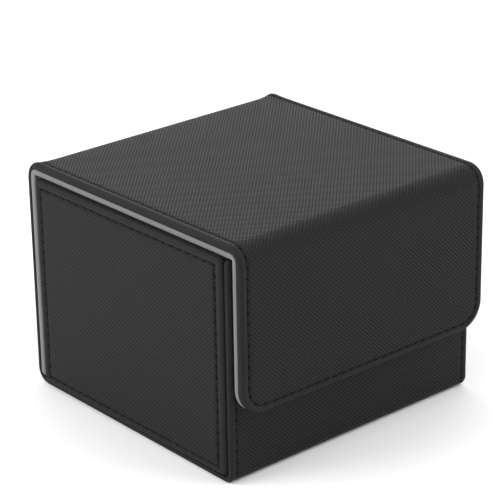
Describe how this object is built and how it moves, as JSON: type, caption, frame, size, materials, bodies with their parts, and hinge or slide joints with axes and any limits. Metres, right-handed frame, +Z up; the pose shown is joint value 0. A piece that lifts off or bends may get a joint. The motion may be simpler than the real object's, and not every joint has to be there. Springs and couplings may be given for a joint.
{
  "type": "card deck box",
  "caption": "Hinged-lid deck box for sleeved trading cards, with a wrap-around lid and front flap, stitched end panels and a grey lining.",
  "frame": {"origin": "middle of the closed box's footprint, on the surface it stands on", "axes": "+X to the right along the front, the front flap faces -Y, +Z up"},
  "size_m": [0.1064, 0.1074, 0.08],
  "materials": {
    "pu_leather": "semi-matte black, fine embossed weave",
    "microfibre": "light grey brushed microfibre",
    "greyboard": "plain compressed board",
    "thread": "black bonded thread",
    "nickel": "bright nickel plate on a magnet"
  },
  "bodies": {
    "tray": {"front_skin": "pu_leather", "front_board": "greyboard", "tray_magnets": "nickel", "floor_skin": "pu_leather", "floor_board": "greyboard", "back_skin": "pu_leather", "back_board": "greyboard", "back_lining": "microfibre", "floor_lining": "microfibre", "front_lining": "microfibre", "left_end_skin": "pu_leather", "left_end_board": "greyboard", "left_end_lining": "microfibre", "left_end_thread": "thread", "right_end_skin": "pu_leather", "right_end_board": "greyboard", "right_end_lining": "microfibre", "right_end_thread": "thread", "rear_fold_skin": "pu_leather", "rear_fold_lining": "microfibre", "tray_thread": "thread"},
    "lid": {"lid_skin": "pu_leather", "lid_board": "greyboard", "lid_lining": "microfibre", "lid_thread": "thread", "front_fold_skin": "pu_leather", "front_fold_lining": "microfibre"},
    "flap": {"flap_skin": "pu_leather", "flap_board": "greyboard", "flap_lining": "microfibre", "flap_magnets": "nickel", "flap_thread": "thread"}
  },
  "joints": [
    {"name": "lid_hinge", "type": "hinge", "parent": "tray", "child": "lid", "pos_m": [0, 0.05224, 0.07854], "axis": [-1, 0, 0], "range_deg": [0, 180], "deforming": ["rear_fold_skin", "rear_fold_lining"]},
    {"name": "flap_hinge", "type": "hinge", "parent": "lid", "child": "flap", "pos_m": [0, -0.0523, 0.0786], "axis": [-1, 0, 0], "range_deg": [0, 180], "deforming": ["front_fold_skin", "front_fold_lining"]}
  ]
}
